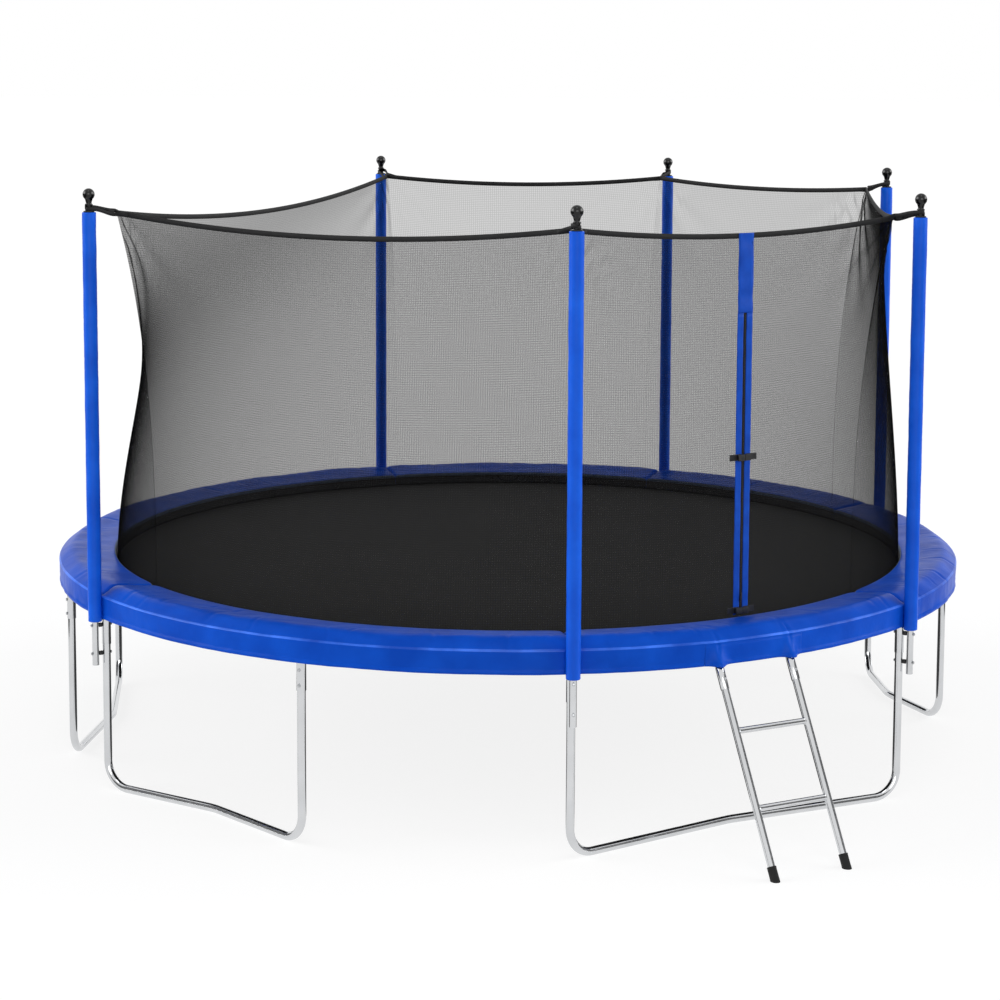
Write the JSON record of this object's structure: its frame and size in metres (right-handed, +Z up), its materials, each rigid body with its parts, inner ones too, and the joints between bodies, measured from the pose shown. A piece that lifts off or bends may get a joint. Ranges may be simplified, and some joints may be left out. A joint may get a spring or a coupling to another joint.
{
  "type": "trampoline",
  "caption": "Round garden trampoline on bent tube legs, with a padded spring cover, foam-sleeved net poles with ball caps, a safety net with a zipped door, and a hook-on ladder.",
  "frame": {"origin": "on the ground, under the middle of the whole part's length and width", "axes": "+Z up; -Y towards the front, where the door and the ladder are a little to the right; +X to the right seen from the front"},
  "size_m": [4.5966, 4.8372, 2.855],
  "materials": {
    "galvanised_steel": "hot dip galvanised, satin",
    "zinc_steel": "zinc plated",
    "blue_cover": "glossy PVC cover over foam",
    "blue_webbing": "woven webbing",
    "black_mat": "woven polypropylene",
    "black_net": "knitted polyester net",
    "black_webbing": "woven webbing",
    "black_gloss_plastic": "moulded, glossy",
    "black_matt_plastic": "moulded, matt",
    "black_rubber": "moulded"
  },
  "bodies": {
    "frame": {"frame_rails_1": "galvanised_steel", "pole_sleeve_1": "blue_cover", "pad_sector_1": "blue_cover", "frame_rails_2": "galvanised_steel", "pole_sleeve_2": "blue_cover", "pad_sector_2": "blue_cover", "frame_rails_3": "galvanised_steel", "pole_sleeve_3": "blue_cover", "pad_sector_3": "blue_cover", "frame_rails_4": "galvanised_steel", "pole_sleeve_4": "blue_cover", "pad_sector_4": "blue_cover", "frame_rails_5": "galvanised_steel", "pole_sleeve_5": "blue_cover", "pad_sector_5": "blue_cover", "frame_rails_6": "galvanised_steel", "pole_sleeve_6": "blue_cover", "pad_sector_6": "blue_cover", "leg_a": "galvanised_steel", "leg_b": "galvanised_steel", "leg_c": "galvanised_steel", "leg_d": "galvanised_steel", "leg_e": "galvanised_steel", "poles_lower": "galvanised_steel", "poles_upper": "galvanised_steel", "pole_bolts": "zinc_steel", "socket_screws": "zinc_steel", "springs": "zinc_steel", "pole_spacers": "black_matt_plastic", "buckle_bodies": "black_matt_plastic", "door_zip": "black_matt_plastic", "pole_caps": "black_gloss_plastic", "net_straps": "black_webbing", "net_loops": "black_webbing", "net_top_hem": "black_webbing", "net_front_left": "black_net", "net_door_left": "black_net", "net_door_right": "black_net", "net_right": "black_net", "net_back_right": "black_net", "net_back": "black_net", "net_left": "black_net", "door_tapes": "blue_webbing"},
    "mat": {"jump_mat": "black_mat", "mat_hem": "black_webbing", "spring_eyes": "zinc_steel"},
    "ladder": {"ladder_rail_left": "galvanised_steel", "ladder_rail_right": "galvanised_steel", "ladder_rungs": "galvanised_steel", "ladder_hooks": "galvanised_steel", "ladder_feet": "black_rubber", "ladder_screws": "zinc_steel"},
    "zip_slider": {"zip_slider": "black_matt_plastic"},
    "buckle_tongue_upper": {"buckle_tongue_upper": "black_matt_plastic"},
    "buckle_tongue_lower": {"buckle_tongue_lower": "black_matt_plastic"}
  },
  "joints": [
    {"name": "mat_bounce", "type": "slide", "parent": "frame", "child": "mat", "axis": [0, 0, 1], "range_m": [-0.15, 0], "stiffness_N_per_m": 6000, "springref_m": 0.05, "deforming": ["springs"]},
    {"name": "ladder_hinge", "type": "hinge", "parent": "frame", "child": "ladder", "pos_m": [1.07092, -1.87209, 0.898], "axis": [-0.8805, -0.4741, 0], "range_deg": [0, 30]},
    {"name": "zip_slide", "type": "slide", "parent": "frame", "child": "zip_slider", "axis": [0, 0, 1], "range_m": [0, 1.24]},
    {"name": "upper_buckle_slide", "type": "slide", "parent": "frame", "child": "buckle_tongue_upper", "axis": [0.8526, 0.5225, 0], "range_m": [0, 0.03]},
    {"name": "lower_buckle_slide", "type": "slide", "parent": "frame", "child": "buckle_tongue_lower", "axis": [0.8526, 0.5225, 0], "range_m": [0, 0.03]}
  ]
}
